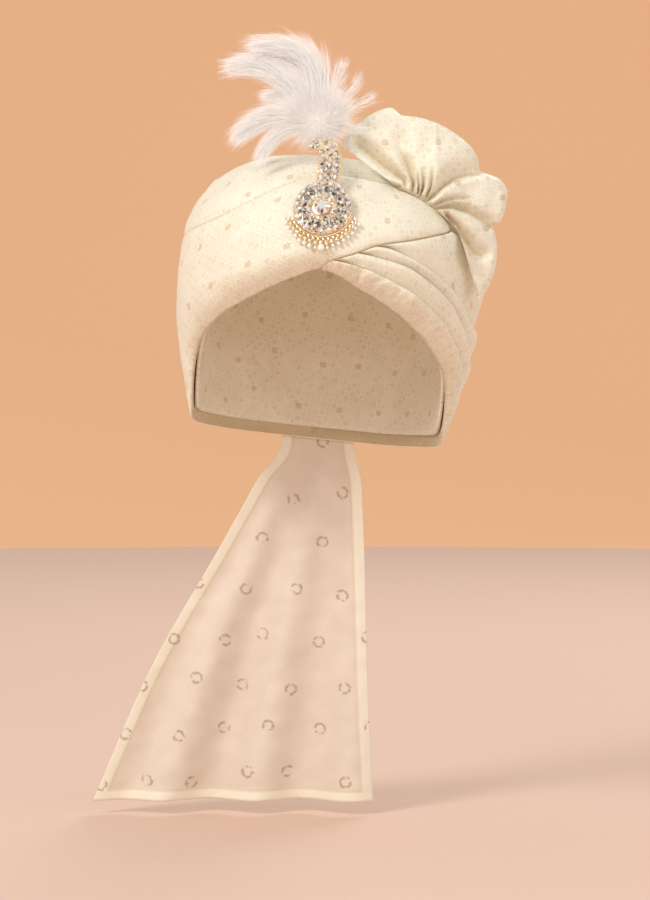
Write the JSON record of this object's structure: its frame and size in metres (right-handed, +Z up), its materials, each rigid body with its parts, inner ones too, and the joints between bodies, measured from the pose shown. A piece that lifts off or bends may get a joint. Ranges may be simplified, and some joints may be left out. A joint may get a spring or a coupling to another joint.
{
  "type": "tied turban",
  "caption": "Wound brocade turban with a crossed front, a gathered fan, a hanging tail, a stone brooch and a feather plume.",
  "frame": {"origin": "middle of the opening for the head, in the plane of the rim at the temples", "axes": "+Z up, -Y the way the wearer faces, +X to the side that the fan is on"},
  "size_m": [0.2852, 0.2693, 0.5231],
  "materials": {
    "brocade": "cream jacquard brocade with small self-coloured motifs and sparse beige-gold spots",
    "brocade_reverse": "reverse of the brocade, with brown outlined ring motifs and a folded hem",
    "pale_gold": "polished pale gold metal set with small clear and smoky stones",
    "clear_stone": "cut clear stone",
    "pearl_and_gold": "cream pearl beads on gold wire",
    "white_feather": "soft white feather barbs"
  },
  "bodies": {
    "root": {"crown_cloth": "brocade", "upper_wrap": "brocade", "front_wrap": "brocade", "side_wrap": "brocade", "pleat_upper": "brocade", "pleat_lower": "brocade", "rim_wrap": "brocade", "fan": "brocade", "tail": "brocade_reverse", "brooch": "pale_gold", "centre_stone": "clear_stone", "pearl_fringe": "pearl_and_gold", "brooch_pin": "pale_gold", "plume": "white_feather"}
  },
  "joints": []
}
